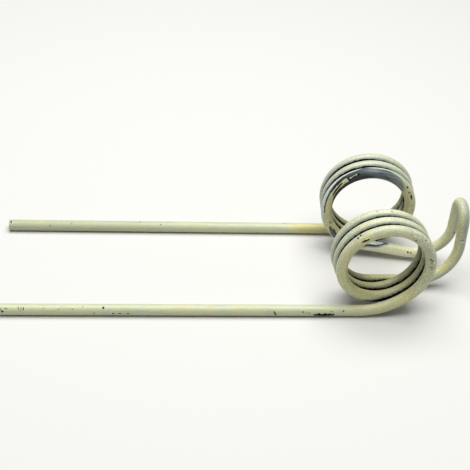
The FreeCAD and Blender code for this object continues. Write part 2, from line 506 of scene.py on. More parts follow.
# How much painted cool light tints the outer side blue-grey, and the painted cool shade beside the
# creases.
BLUE_ALONG = {
    410: 0, 440: 0.2, 480: 0.15, 520: 0.1, 632: 0.1, 660: 0.1, 700: 0.1, 740: 0.1, 852: 0.1, 900: 0.25,
    960: 0.2, 1010: 0.5, 1030: 1, 1085: 1, 1098: 0.8, 1108: 0.1, 1150: 0.2, 1320: 0.2, 1436: 0.4,
    1500: 0.4, 1520: 0.2, 1700: 0.4, 1766: 0.2, 1850: 0,
}
# Painted light: paler paint at these places, most of all on the exit wire and the loop, which the coils
# shade.
PAINTED_LIGHT_ALONG = {
    600: 0, 632: 0.3, 660: 0, 830: 0, 852: 0.35, 880: 0, 1085: 0, 1095: 0.45, 1120: 0.6, 1150: 0.6,
    1170: 1, 1196: 1, 1216: 0.8, 1225: 0,
}
# Where the loop's sides get painted shade.
SHADY_ALONG = {
    1000: 0, 1020: 0.5, 1055: 0.6, 1072: 0.7, 1088: 0.5, 1100: 0.35, 1120: 0.6, 1160: 0.6, 1180: 0,
}
# Where the crease's grime and painted shade reach further out.
GRIME_AND_SHADE_REACH_ALONG = {
    440: 0, 465: 0.25, 510: 0.25, 540: 0, 560: 0.35, 590: 0.35, 605: 0, 655: 0, 680: 0.25, 720: 0.25,
    750: 0, 765: 0, 780: 0.35, 810: 0.35, 825: 0, 875: 0, 900: 0.25, 940: 0.25, 965: 0, 1220: 0,
    1240: 0.9, 1310: 0.7, 1330: 0.2, 1350: 0, 1436: 0, 1455: 1, 1520: 0.9, 1560: 0.1, 1600: 0, 1660: 0,
    1680: 1, 1740: 0.9, 1780: 0.1, 1800: 0,
}
MOTTLED_ALONG = {
    270: 0.25, 330: 1, 345: 1.7, 392: 1.7, 405: 1, 1010: 1, 1030: 1.3, 1070: 1.3, 1080: 1, 1165: 1,
    1175: 0.6, 1216: 0.6, 1225: 1, 1848: 1, 1908: 0.25,
}
BENDS_ALONG = {270: 0, 330: 1, 1848: 1, 1908: 0}
RUNS = {
    "ochre": OCHRE_ALONG,
    "olive": OLIVE_ALONG,
    "soot_and_shade": SOOT_AND_SHADE_ALONG,
    "dull": DULL_ALONG,
    "blue": BLUE_ALONG,
    "pale": PAINTED_LIGHT_ALONG,
    "shady": SHADY_ALONG,
    "grime_and_shade_reach": GRIME_AND_SHADE_REACH_ALONG,
    "mottled": MOTTLED_ALONG,
    "bends": BENDS_ALONG,
}

for name, points in RUNS.items():
    store(name, np.broadcast_to(read_along(points), skin.shape[:2]))
    print(name, "along the wire:", len(points), "points")

# %% [markdown]
# ## Small helpers for the paint's nodes
#
# A material is a tree of nodes. Typing out every node and link hides what it is for, so
# these helpers read like sentences: add noise, take what lies between two limits, blend two
# colours. Each gives the socket that holds its result, and takes plain values or sockets.

# %% Make the node helpers
paint = bpy.data.materials.new("worn_cream_paint")
paint.use_nodes = True
tree = paint.node_tree
shader = tree.nodes["Principled BSDF"]


def feed(socket, source):
    """Join a socket to another node's result, or set it to a plain value."""
    if isinstance(source, bpy.types.NodeSocket):
        tree.links.new(source, socket)
    else:
        socket.default_value = source


def maths(operation, *values):
    """One sum of values or sockets, such as MULTIPLY."""
    made = tree.nodes.new("ShaderNodeMath")
    made.operation = operation
    for socket, value in zip(made.inputs, values):
        feed(socket, value)
    return made.outputs[0]


def vectors(operation, *values):
    """One sum of vectors. LENGTH gives a number, the others a vector."""
    made = tree.nodes.new("ShaderNodeVectorMath")
    made.operation = operation
    for socket, value in zip(made.inputs, values):
        feed(socket, value)
    return made.outputs["Value" if operation == "LENGTH" else "Vector"]


def noise(place, scale, detail=2.0, kind="Fac"):
    """Cloudy pattern. The scale is in clouds per unit of the place."""
    made = tree.nodes.new("ShaderNodeTexNoise")
    feed(made.inputs["Vector"], place)
    made.inputs["Scale"].default_value = scale
    made.inputs["Detail"].default_value = detail
    return made.outputs[kind]


def between(value, none_at, all_at):
    """Rise smoothly from 0 where the value is none_at to 1 where it is all_at."""
    made = tree.nodes.new("ShaderNodeMapRange")
    made.interpolation_type = "SMOOTHSTEP"
    for name, source in (("Value", value), ("From Min", none_at), ("From Max", all_at)):
        feed(made.inputs[name], source)
    return made.outputs["Result"]


def mix(data_type, kind, amount, under, over):
    """The node behind both blends. The kind is how its sockets are called."""
    made = tree.nodes.new("ShaderNodeMix")
    made.data_type = data_type
    for name, source in (("Factor_Float", amount), (f"A_{kind}", under), (f"B_{kind}", over)):
        feed(next(s for s in made.inputs if s.identifier == name), source)
    return next(s for s in made.outputs if s.identifier == f"Result_{kind}")


def blend(amount, under, over):
    """Lay one colour over another, by an amount from 0 to 1."""
    return mix("RGBA", "Color", amount, under, over)


def blend_numbers(amount, under, over):
    """Go from one number to another, by an amount from 0 to 1."""
    return mix("FLOAT", "Float", amount, under, over)


def times(first, second):
    """The product of two values or sockets."""
    return maths("MULTIPLY", first, second)


def swing(pattern, amount):
    """Turn a pattern from 0 to 1 into one that goes half an amount either way from 0."""
    return maths("MULTIPLY_ADD", pattern, amount, -amount / 2)


def count_nodes():
    """Say how large the tree of nodes is by now."""
    print("paint so far:", len(tree.nodes), "nodes")


def attribute(name, kind="Fac"):
    """What the mesh stores under a name, as a number, or as a Vector."""
    made = tree.nodes.new("ShaderNodeAttribute")
    made.attribute_name = name
    return made.outputs[kind]


# %% [markdown]
# ## The paint itself
#
# The paint is a cream that has gone greenish in some places and ochre in others, as old
# enamel does, with a bluish bloom where it wore thin. Four noises of different sizes mix
# those colours: broad fields a hand long, clouds as wide as the wire, a mottle of a few
# millimetres, and a grain as fine as the photo shows. In the bends the outer side gets a
# painted cool light in the bloom's blue-grey, the inner side a painted warm light in the
# ochre, and the grain is strong. The tines are smoother, with faint streaks along the wire,
# for which the noise is drawn out that way.
# Every noise stays mostly between 0.3 and 0.7, so limits near 0.5 cover about half the paint.
# A name that ends in SIDE holds two limits across the wire, in millimetres from its middle
# towards the outer side of the bend: none of the colour at the first, all of it at the other.

# %% Mix the cream of the paint
CREAM = (0.545, 0.550, 0.340, 1)
GREEN_CREAM = (0.505, 0.545, 0.350, 1)
OCHRE_CREAM = (0.595, 0.550, 0.245, 1)
BLOOM_AND_COOL_LIGHT = (0.420, 0.485, 0.420, 1)
DULL_CREAM_AND_SHADE = (0.410, 0.420, 0.270, 1)
PALE_CREAM = (0.810, 0.815, 0.575, 1)
GRAIN_GREY = (0.290, 0.315, 0.225, 1)
BROAD_FIELDS = 0.016
CLOUDS = 0.11
MOTTLE = 0.55
GRAIN = 1.1
DRAWN_OUT = (0.12, 1.0, 1.0)
INNER_SIDE = (0.5, -3.5)
OUTER_SIDE = (0.5, 4.3)
WARM_LIGHT_INSIDE = 0.35
OCHRE_SWING = 1.6
OCHRE_RANGE = (0.05, 1.15)
LEAST_COOL_LIGHT = 0.12
COOL_LIGHT_WHERE_BLUE = 0.7
BLOOM_IN_CLOUDS = 0.35
MOTTLE_COVER = 0.42
DARK_GRAIN_COVER = 0.48
LIGHT_GRAIN_COVER = 0.55
STREAK_COVER = 0.22

place = attribute("straightened", "Vector")
bends = attribute("bends")
mottled = attribute("mottled")
split = tree.nodes.new("ShaderNodeSeparateXYZ")
feed(split.inputs[0], place)
distance_along, outer_share = split.outputs[:2]

broad = noise(place, BROAD_FIELDS)
cloud = noise(place, CLOUDS, 3.0)
mottle = noise(place, MOTTLE, 4.0)
grain = noise(place, GRAIN, 3.0)
streaks = noise(vectors("MULTIPLY", place, DRAWN_OUT), MOTTLE, 4.0)

greenish = between(broad, 0.42, 0.60)
colour = blend(greenish, CREAM, GREEN_CREAM)
# Dull paint, and painted shade on the loop's crown.
colour = blend(attribute("dull"), colour, DULL_CREAM_AND_SHADE)
# Painted warm light: the inner side of the bends is tinted ochre.
warm_lit_inner_side = times(bends, between(outer_share, *INNER_SIDE))
ochre = maths("MULTIPLY_ADD", warm_lit_inner_side, WARM_LIGHT_INSIDE, attribute("ochre"))
for pattern in (cloud, mottle):
    ochre = maths("ADD", ochre, swing(pattern, OCHRE_SWING))
colour = blend(between(ochre, *OCHRE_RANGE), colour, OCHRE_CREAM)
# Painted cool light: the outer side of the bends is tinted blue-grey.
outer_side = times(bends, between(outer_share, *OUTER_SIDE))
most_cool_light = maths("MULTIPLY_ADD", attribute("blue"), COOL_LIGHT_WHERE_BLUE, LEAST_COOL_LIGHT)
outer_cool_light = times(outer_side, most_cool_light)
thin_clouds = between(cloud, 0.47, 0.30)
colour = blend(maths("MULTIPLY_ADD", thin_clouds, BLOOM_IN_CLOUDS, outer_cool_light), colour, BLOOM_AND_COOL_LIGHT)
mottling = times(between(mottle, 0.50, 0.68), mottled)
colour = blend(times(mottling, MOTTLE_COVER), colour, BLOOM_AND_COOL_LIGHT)
# Painted light: the paint is made paler where the pale row says.
colour = blend(attribute("pale"), colour, PALE_CREAM)
dark_grain = times(between(grain, 0.50, 0.66), mottled)
light_grain = times(between(grain, 0.48, 0.34), mottled)
dark_streaks = between(streaks, 0.50, 0.66)
colour = blend(times(dark_grain, DARK_GRAIN_COVER), colour, GRAIN_GREY)
colour = blend(times(light_grain, LIGHT_GRAIN_COVER), colour, PALE_CREAM)
colour = blend(times(dark_streaks, STREAK_COVER), colour, GRAIN_GREY)
count_nodes()

# %% [markdown]
# ## Grime and painted shade between the turns
#
# The room to the next turn gives the crease: nearly black where there is least of it, which
# is grime and painted shade, and beside that a blue-grey that is thin paint and painted
# shade, with a lighter painted cool shade further out on the outer side. In the bore the
# black spreads a little wider, with dirt and painted shade beside it over an olive that is
# partly painted shade and lets the grain show through, and on one side of each bore there is
# soot and painted shade. The noise that is added to the room keeps the lines from looking
# ruled. The loop has no next turn, but its sides get the same blue-grey as painted shade.
# A name that ends in ROOM holds two limits in millimetres of room.

# %% Put grime and painted shade into the creases
GRIME_AND_SHADE_BLACK = (0.012, 0.013, 0.010, 1)
THIN_PAINT_AND_SHADE = (0.235, 0.265, 0.240, 1)
COOL_SHADE_BLUE = (0.420, 0.495, 0.470, 1)
BORE_OLIVE_AND_SHADE = (0.400, 0.395, 0.165, 1)
BORE_DIRT_AND_SHADE = (0.150, 0.145, 0.080, 1)
SOOT_AND_SHADE = (0.060, 0.063, 0.045, 1)
BORE_SIDE = (-0.8, -3.2)
SOOT_AND_SHADE_SIDE = (-1.0, -3.4)
BLUE_SIDE = (-2.0, 1.0)
SHADY_SIDE = (-2.5, 1.5)
OUTERMOST_SIDE = (5.5, 1.0)
BLUE_ROOM = (6.5, 3.5)
THIN_PAINT_AND_SHADE_ROOM = (4.6, 2.2)
DIRT_AND_SHADE_ROOM = (3.6, 1.9)
GRIME_AND_SHADE_ROOM = (2.25, 1.85)
UNEVENNESS = 1.6
UNEVEN_CLOUDS = 0.35
WIDER_IN_THE_BORE = 0.35
LESS_THIN_PAINT_AND_SHADE_IN_THE_BORE = 0.4
THIN_PAINT_AND_SHADE_COVER = 0.85
DIRT_AND_SHADE_COVER = 0.85
MOST_SOOT_AND_SHADE = 0.92
LEAST_OLIVE = 0.45
SOOT_AND_SHADE_IN_CLOUDS = 0.8
SOOT_AND_SHADE_BETWEEN_THEM = 0.45

in_the_bore = times(bends, between(outer_share, *BORE_SIDE))
uneven = swing(noise(place, UNEVEN_CLOUDS, 3.0), UNEVENNESS)
free_room = maths("SUBTRACT", maths("ADD", attribute("room"), uneven), attribute("grime_and_shade_reach"))
# A lighter painted cool shade, further out from the crease, on the outer side.
blue = times(attribute("blue"), between(free_room, *BLUE_ROOM))
colour = blend(times(blue, between(outer_share, *BLUE_SIDE)), colour, COOL_SHADE_BLUE)
# The olive in the bores is partly painted shade.
olive_grain = blend_numbers(between(grain, 0.42, 0.58), LEAST_OLIVE, 1.0)
olive = times(attribute("olive"), olive_grain)
colour = blend(times(in_the_bore, olive), colour, BORE_OLIVE_AND_SHADE)
# Beside the crease a blue-grey of thin paint and painted shade; the loop's sides get it as painted shade.
thin_paint_and_shade = times(between(free_room, *THIN_PAINT_AND_SHADE_ROOM), THIN_PAINT_AND_SHADE_COVER)
thin_paint_and_shade_here = times(thin_paint_and_shade, maths("MULTIPLY_ADD", in_the_bore, -LESS_THIN_PAINT_AND_SHADE_IN_THE_BORE, 1.0))
shady_side = times(between(outer_share, *SHADY_SIDE), between(outer_share, *OUTERMOST_SIDE))
shady = times(attribute("shady"), shady_side)
colour = blend(maths("MAXIMUM", shady, thin_paint_and_shade_here), colour, THIN_PAINT_AND_SHADE)
# Dirt and painted shade beside the crease in the bore, where less light gets in.
tight_room = maths("MULTIPLY_ADD", in_the_bore, -WIDER_IN_THE_BORE, free_room)
bore_dirt_and_shade = times(between(tight_room, *DIRT_AND_SHADE_ROOM), in_the_bore)
colour = blend(times(bore_dirt_and_shade, DIRT_AND_SHADE_COVER), colour, BORE_DIRT_AND_SHADE)
# Soot and painted shade, on the side of the bore.
soot_and_shade = times(attribute("soot_and_shade"), between(outer_share, *SOOT_AND_SHADE_SIDE))
soot_and_shade = times(soot_and_shade, maths("MULTIPLY_ADD", cloud, SOOT_AND_SHADE_IN_CLOUDS, SOOT_AND_SHADE_BETWEEN_THEM))
colour = blend(maths("MINIMUM", soot_and_shade, MOST_SOOT_AND_SHADE), colour, SOOT_AND_SHADE)
# Nearly black where the room is least: grime, and painted shade in the crease.
crease_grime_and_shade = between(tight_room, *GRIME_AND_SHADE_ROOM)
count_nodes()

# %% [markdown]
# ## Bare steel
#
# Bare spring steel is dark and blue-grey, duller than the paint, and streaked along the wire
# where it was drawn through its die. The patch is nearly black at its left end, and at the
# right it fades into worn paint. Noise frays its border, and at the left a black line runs
# along it, where the paint ends in a step. A name that ends in EDGE holds two limits in
# millimetres inside a border, and less than 0 is outside it.

# %% Lay the bare patch
STEEL = (0.110, 0.135, 0.155, 1)
DARK_STEEL = (0.028, 0.034, 0.040, 1)
WORN_STEEL = (0.250, 0.285, 0.270, 1)
OLD_FILM = (0.270, 0.300, 0.225, 1)
MARGIN_REFLECTION_BLUE = (0.500, 0.590, 0.580, 1)
FADES_ALONG = (1334.0, 1358.0)
DARKENS_ALONG = (1330.0, 1312.0)
RIMMED_ALONG = (1312.0, 1300.0)
FILM_COVER = 0.85
DARK_COVER = 0.95
MARGIN_COVER = (0.85, 0.35)
FRAY = 2.4
FRAY_CLOUDS = 0.5
MARGIN_FRAY = 0.5
PATCH_FRAY = 0.6
SHARP_EDGE = 0.6
FADED_EDGE = 5.0
MARGIN_EDGE = (-0.3, 0.5)
RIM_OUTER_EDGE = (-0.5, 0.0)
RIM_INNER_EDGE = (1.4, 0.7)


def line_along(depth, outer_edge, inner_edge):
    """A line along a border, which starts and ends at so many millimetres inside it."""
    return times(between(depth, *outer_edge), between(depth, *inner_edge))


dark_lines = between(streaks, 0.46, 0.34)
light_lines = between(streaks, 0.52, 0.70)
fading = between(distance_along, *FADES_ALONG)
darkening = between(distance_along, *DARKENS_ALONG)
steel = blend(dark_lines, STEEL, DARK_STEEL)
steel = blend(light_lines, steel, WORN_STEEL)
steel = blend(times(fading, FILM_COVER), steel, OLD_FILM)
steel = blend(times(darkening, DARK_COVER), steel, DARK_STEEL)
fray = swing(noise(place, FRAY_CLOUDS, 4.0), FRAY)
# The margin's pale blue-white is a painted reflection on the worn wire.
margin_depth = maths("MULTIPLY_ADD", fray, MARGIN_FRAY, attribute("pale_margin"))
margin_cover = blend_numbers(between(streaks, 0.48, 0.62), *MARGIN_COVER)
colour = blend(times(between(margin_depth, *MARGIN_EDGE), margin_cover), colour, MARGIN_REFLECTION_BLUE)
bare_depth = maths("MULTIPLY_ADD", fray, PATCH_FRAY, attribute("bare_patch"))
bare = between(bare_depth, 0.0, blend_numbers(fading, SHARP_EDGE, FADED_EDGE))
colour = blend(bare, colour, steel)
rim = line_along(bare_depth, RIM_OUTER_EDGE, RIM_INNER_EDGE)
colour = blend(times(rim, between(distance_along, *RIMMED_ALONG)), colour, GRIME_AND_SHADE_BLACK)
count_nodes()

# %% [markdown]
# ## The worn place on the exit wire
#
# Here the paint was rubbed away in steps: nearly white with grey spots in the middle, rubbed
# steel whose whiteness is partly a painted highlight, a navy rim round that, and thin
# blue-grey paint outside the rim. All three come from one border.
# Each step is laid where the depth inside that border lies between two limits.

# %% Lay the worn place on the exit wire
NAVY = (0.020, 0.032, 0.042, 1)
PALE_WORN_AND_HIGHLIGHT = (0.560, 0.620, 0.540, 1)
BLUE_MARGIN = (0.250, 0.300, 0.310, 1)
EXIT_FRAY = 0.5
BLUE_COVER = 0.8
BLUE_EDGE = (-2.6, -1.0)
PALE_EDGE = (0.6, 1.3)
NAVY_OUTER_EDGE = (-0.9, -0.3)
NAVY_INNER_EDGE = (1.5, 0.9)

exit_depth = maths("MULTIPLY_ADD", fray, EXIT_FRAY, attribute("exit_patch"))
grey_spots = between(mottle, 0.50, 0.66)
colour = blend(times(between(exit_depth, *BLUE_EDGE), BLUE_COVER), colour, BLUE_MARGIN)
# Nearly white rubbed steel, partly a painted highlight, with grey spots.
colour = blend(between(exit_depth, *PALE_EDGE), colour, blend(grey_spots, PALE_WORN_AND_HIGHLIGHT, BLUE_MARGIN))
colour = blend(line_along(exit_depth, NAVY_OUTER_EDGE, NAVY_INNER_EDGE), colour, NAVY)
count_nodes()

# %% [markdown]
# ## Chips, scratches and scuffs
#
# Each mark in the photo is set down one by one: where it is along the wire and around it,
# its half length and half width in millimetres, and its slant in degrees if it has one. One
# node for each mark would make a tree that is too large to render. Instead the vertices near
# a mark keep their place as that mark sees it, in its own half sizes, so the mark is wherever
# that place is shorter than 1. Marks that crowd each other go to different layers, and a
# vertex with no mark near it keeps a place far off, above the skin, where no mark reaches.

# %% Make the helpers for marks
MARK_DEPTH = 3.0
MARK_MARGIN = 3.2
MARK_GAP = 2.0
FAR_OFF = (0.0, 50.0, 0.0)
SHAKE = (1.8, 0.0, 1.8)
SHAKE_CLOUDS = 0.9


def seen_by(distance, angle, half_length, half_width, slant=0):
    """Every vertex as one mark sees it, and which vertices are near the mark and beside it."""
    turn = np.radians(angle)
    facing = np.array(Matrix.Rotation(turn, 3, "X") @ Matrix.Rotation(np.radians(-slant), 3, "Y"))
    middle = (distance, WIRE_RADIUS * np.cos(turn), WIRE_RADIUS * np.sin(turn))
    half_sizes = np.array([half_length, MARK_DEPTH, half_width])
    offset = (straightened - middle) @ facing
    near, beside = (
        np.linalg.norm(offset / (half_sizes + margin), axis=-1) < 1
        for margin in (MARK_MARGIN, MARK_MARGIN + MARK_GAP)
    )
    return offset / half_sizes, near, beside


def store_marks(name, marks):
    """Store marks in as few layers as keep them apart. Gives the names of the layers."""
    layers = []
    for mark in marks:
        seen, near, beside = seen_by(*mark)
        layer = next((spare for spare in layers if (spare[beside] == FAR_OFF).all()), None)
        if layer is None:
            layer = np.full(skin.shape, FAR_OFF)
            layers.append(layer)
        layer[near] = seen[near]
    names = [f"{name}_{number}" for number in range(1, len(layers) + 1)]
    for layer_name, layer in zip(names, layers):
        store(layer_name, layer, "FLOAT_VECTOR", "vector")
    print(name, "-", len(marks), "marks in", len(layers), "layers")
    return names


def nearest_mark(layers):
    """Distance to the nearest mark of some layers, where 1 is about the mark's edge."""
    nearest = None
    for name in layers:
        distance = vectors("LENGTH", vectors("ADD", attribute(name, "Vector"), shake))
        nearest = distance if nearest is None else maths("MINIMUM", nearest, distance)
    return nearest


shake = vectors("SUBTRACT", noise(place, SHAKE_CLOUDS, 3.0, "Color"), (0.5, 0.5, 0.5))
shake = vectors("MULTIPLY", shake, SHAKE)

# %% Set down the chips, flakes and scuffs
BLACK_CHIPS = {
    "front tine, tip": (3.5, 252, 0.8, 0.8),
    "front tine, stroke": (19.3, 224, 0.4, 1.2),
    "front tine, dot": (80.3, 212, 0.9, 0.9),
    "front tine, edge 1": (88, 272, 0.9, 0.6),
    "front tine, edge 2": (93, 272, 1.2, 0.5),
    "front tine, edge 3": (99.5, 272, 0.9, 0.5),
    "front tine, cross stroke 1": (214.0, 252, 0.5, 1.0, -15),
    "front tine, cross stroke 2": (215.2, 275, 0.7, 1.5, -12),
    "front tine, dot by the chip": (237.2, 247, 0.65, 0.6),
    "big chip 1": (247.8, 286, 2.2, 1.1, 20),
    "big chip 2": (250.2, 280, 2.1, 1.5, 30),
    "big chip 3": (252.6, 287, 2.3, 1.3, -10),
    "big chip 4": (255.0, 280, 2.1, 1.6, 20),
    "big chip 5": (257.6, 284, 2.3, 1.3, -25),
    "big chip 6": (260.2, 284, 1.8, 1.1, 20),
    "big chip 7": (261.6, 276, 1.0, 0.9),
    "big chip 8": (254.5, 292, 5.0, 0.9),
    "front tine, by the coil": (269.5, 236, 0.7, 0.8),
    "front coil, dot 1": (437.8, 349, 0.9, 0.9),
    "front coil, dot 2": (435.5, 2, 0.9, 0.9),
    "front coil, dash": (433.8, 283, 3.4, 0.75, 8),
    "front coil, dot 3": (392.5, 257, 0.7, 0.8),
    "rear coil, hole in the bore": (1598.3, 168, 4.6, 1.5),
    "rear coil, hook": (1361.5, 78, 0.9, 0.5, 30),
    "rear coil, edge of the low scuff": (1246.5, 103, 3.5, 0.4, 10),
    "front coil, slanted dash": (366.4, 267, 2.3, 0.45, -32),
    "rear tine, tip": (2176.1, 164, 0.9, 0.9),
    "rear coil, oval": (1356.6, 59, 1.0, 0.7, 60),
    "rear coil, dash 1": (1365.7, 71, 1.6, 0.7, 25),
    "rear coil, dash 2": (1367.8, 73, 1.3, 0.6, 10),
    "rear exit wire, dot 1": (1177.9, 120, 0.8, 0.7),
    "rear exit wire, dot 2": (1175.3, 116, 0.8, 0.7),
    "loop, dot": (1129.4, 75, 0.7, 0.7),
}
FAINT_MARKS = {
    "front tine, tip hook": (2.2, 234, 0.4, 1.3),
    "front tine, tip spot": (6.0, 222, 1.2, 0.6),
    "front tine, stroke 1": (15.6, 221, 0.5, 1.6),
    "front tine, stroke 2": (17.4, 228, 0.4, 1.8, 10),
    "front tine, speck 1": (34.6, 218, 0.8, 0.5),
    "front tine, speck 2": (46.1, 227, 0.7, 0.5),
    "front tine, speck 3": (56.8, 224, 0.9, 0.5),
    "front tine, speck 4": (64.6, 198, 0.7, 0.5),
    "front tine, olive spot": (73.3, 269, 1.0, 0.7),
    "front tine, scratch 1": (240.4, 256, 0.4, 1.2),
    "front tine, scratch 2": (242.4, 257, 0.4, 1.2),
    "front tine, over the chip": (260.0, 242, 1.3, 0.5),
    "front coil, blotch": (363.8, 260, 1.6, 0.5, -32),
    "front coil, low blotch": (358.5, 267, 1.5, 0.9, -20),
    "front coil, dot 4": (385.6, 316, 0.8, 0.6),
    "front coil, third turn 1": (859.3, 1, 0.8, 0.7),
    "front coil, third turn 2": (849.1, 343, 0.8, 0.7),
    "front coil, by the tine 1": (510.6, 294, 1.6, 1.2),
    "front coil, by the tine 2": (513.1, 292, 1.4, 1.0),
    "rear tine, speck 1": (2143.9, 126, 0.8, 0.6),
    "rear tine, speck 2": (2125.9, 150, 0.8, 0.6),
    "rear tine, speck 3": (2068.2, 184, 0.9, 0.7),
    "rear tine, speck 4": (2050.6, 151, 0.8, 0.6),
    "rear tine, speck 5": (1966.7, 63, 1.2, 0.7),
    "rear tine, speck 6": (1943.8, 187, 0.8, 0.7),
    "rear coil, speck 1": (1350.0, 359, 0.6, 0.6),
    "rear coil, speck 2": (1352.2, 5, 0.6, 0.6),
    "rear coil, speck 3": (1362, 63, 0.7, 0.6),
    "rear coil, scratch 1": (1375.9, 69, 1.5, 0.4),
    "rear coil, scratch 2": (1380.0, 70, 1.6, 0.4),
    "rear coil, bore streak 1": (1267.0, 143, 4.0, 0.5),
    "rear coil, bore streak 2": (1259.5, 158, 4.0, 0.6),
    "loop, speck": (1113.3, 164, 0.7, 0.6),
    # A painted shadow beside the nick.
    "loop, painted shadow of the nick": (1059.2, 274, 0.5, 2.0),
}
GREY_SCUFFS = {
    "rear coil, low spot": (1257.5, 113, 1.8, 1.1, -30),
    "front coil, inner right": (578, 210, 3.4, 2.0, 60),
}
FLAKES = {
    "flake 1": (1307.2, 55, 1.0, 0.5, -10),
    "flake 2": (1309.4, 51, 1.1, 0.35, -10),
    "flake 3": (1311.8, 46, 0.8, 0.35, -10),
}
CRACKS = {
    "between the flakes 1": (1288.5, 80, 2.6, 0.5, -8),
    "between the flakes 2": (1292.6, 73, 3.2, 0.55, -8),
    "between the flakes 3": (1296.8, 64, 2.8, 0.5, -8),
    "beside the tongue": (1305.4, 60, 0.5, 1.8),
    "beside the last flake": (1313.4, 49, 0.9, 0.6),
    "beside the fragments": (1309.5, 57, 1.2, 0.4, -10),
}
STEEL_SCUFFS = {
    "rear coil, low 1": (1251.5, 86, 2.6, 1.3, 20),
    "rear coil, low 2": (1247.0, 82, 4.0, 2.2, 20),
    "rear coil, low 3": (1242.5, 74, 4.0, 2.6, 20),
}
# Painted highlights on the rear tine's tip and the loop's nick, and pale paint flakes along two turn
# edges.
GLINTS = {
    "rear tine, tip": (2174.9, 164, 0.7, 0.6),
    "loop, nick": (1057.4, 274, 0.6, 2.2),
    "front coil, edge of the first turn": (369.0, 205, 4.0, 0.45),
    "front coil, edge of the second turn": (582.2, 208, 3.8, 0.4, -27),
}

# %% [markdown]
# ## Wear that the photo doesn't show
#
# The back and the underside of the wire are as worn as the front. A seeded random generator
# scatters small specks and a few chips over the whole wire, and those that the photographer
# would have seen are left out. The seed makes them the same ones on each run.

# %% Scatter more specks and store all marks
STRAY_CHIPS = 30
STRAY_CHIP_SIZES = (0.3, 0.8)
SPECKS = 150
SPECK_SIZES = (0.25, 0.7)
TOWARDS_THE_PHOTOGRAPHER = np.array([-0.10, -0.78, 0.61])
TURNED_AWAY = -0.1
SOFT_EDGES = {
    "chips": (1.15, 0.85),
    "faint": (1.3, 0.7),
    "scuffs": (1.5, 0.5),
    "flakes": (1.25, 1.0),
    "cracks": (1.5, 0.9),
    "steel_scuffs": (1.4, 0.8),
    "glints": (1.2, 0.8),
}
FLAKE_RIM = (2.3, 1.5)
scatter = np.random.default_rng(12)


def scattered(count, least, most):
    """Small marks on the sides that the photo doesn't show, with half sizes in a range."""
    marks = []
    for _ in range(count):
        half_length, half_width = scatter.uniform(least, most, 2)
        ring, segment = scatter.integers(len(ring_along)), scatter.integers(AROUND)
        if spokes[ring, segment] @ TOWARDS_THE_PHOTOGRAPHER < TURNED_AWAY:
            marks.append((ring_along[ring], segment * 360 / AROUND, half_length, half_width))
    return marks


marks = {
    "chips": list(BLACK_CHIPS.values()) + scattered(STRAY_CHIPS, *STRAY_CHIP_SIZES),
    "faint": list(FAINT_MARKS.values()) + scattered(SPECKS, *SPECK_SIZES),
    "scuffs": GREY_SCUFFS.values(),
    "flakes": FLAKES.values(),
    "cracks": CRACKS.values(),
    "steel_scuffs": STEEL_SCUFFS.values(),
    "glints": GLINTS.values(),
}
to_mark = {kind: nearest_mark(store_marks(kind, those)) for kind, those in marks.items()}
mark = {kind: between(to_mark[kind], *SOFT_EDGES[kind]) for kind in marks}
flake_rims = between(to_mark["flakes"], *FLAKE_RIM)
count_nodes()

# %% [markdown]
# ## The order of the marks
#
# The marks are laid in the order in which wear works. Scuffs come first, then the flakes of
# paint that are left on the steel, each with its dark outline, then the faint marks, one of
# them a painted shadow beside the loop's nick, and then the black of the chips, the cracks
# and the crease's grime and painted shade. The glints come last: painted highlights on the
# rear tine's tip and on the loop's nick, and pale flakes of paint along the edges of two turns.

# %% Lay the marks over the paint
CHIP_BLACK = (0.005, 0.005, 0.004, 1)
FAINT_OLIVE = (0.12, 0.13, 0.08, 1)
SCUFF_GREY = (0.17, 0.20, 0.19, 1)
FLAKE_CREAM = (0.52, 0.56, 0.38, 1)
GLINT = (0.75, 0.77, 0.70, 1)
SCUFF_COVER = 0.85
STEEL_SCUFF_COVER = 0.9
FAINT_COVER = 0.75
GLINT_COVER = 0.7

colour = blend(times(mark["scuffs"], SCUFF_COVER), colour, SCUFF_GREY)
colour = blend(times(mark["steel_scuffs"], STEEL_SCUFF_COVER), colour, steel)
colour = blend(times(flake_rims, bare), colour, GRIME_AND_SHADE_BLACK)
colour = blend(mark["flakes"], colour, FLAKE_CREAM)
colour = blend(times(mark["faint"], FAINT_COVER), colour, FAINT_OLIVE)
colour = blend(maths("MAXIMUM", mark["chips"], mark["cracks"]), colour, CHIP_BLACK)
# The crease's grime and painted shade go over everything but the glints.
colour = blend(crease_grime_and_shade, colour, GRIME_AND_SHADE_BLACK)
# Painted highlights and pale flakes, laid last.
colour = blend(times(mark["glints"], GLINT_COVER), colour, GLINT)
feed(shader.inputs["Base Color"], colour)
count_nodes()

# %% [markdown]
# ## Gloss and relief
#
# Old enamel still shines, but not evenly: its roughness wanders with the clouds, and dull
# paint and bare steel are rougher. Chips, cracks and the crease's grime and painted shade
# hardly shine at all, because they lie deep. Paint keeps some gloss however black it is, so
# there the shader is told that it is metal, which reflects in its own colour only, and that
# is nearly black. The relief is small. Sprayed enamel has a faint orange peel, and a chip is
# as deep as the paint was thick, a tenth of a millimetre. A Bump node takes that height and
# tilts the shading, which is enough for depths as small as these.

# %% Set the gloss and the relief
PAINT_ROUGHNESS = (0.34, 0.50)
DULL_ROUGHNESS = 0.62
CHIP_GRIME_AND_SHADE_ROUGHNESS = 0.8
STEEL_METAL = 0.25
BLACK_METAL = 0.9
PAINT_THICKNESS = 0.10
ORANGE_PEEL = 0.020
PEEL_DIMPLES = 0.8
PITTING = 0.03

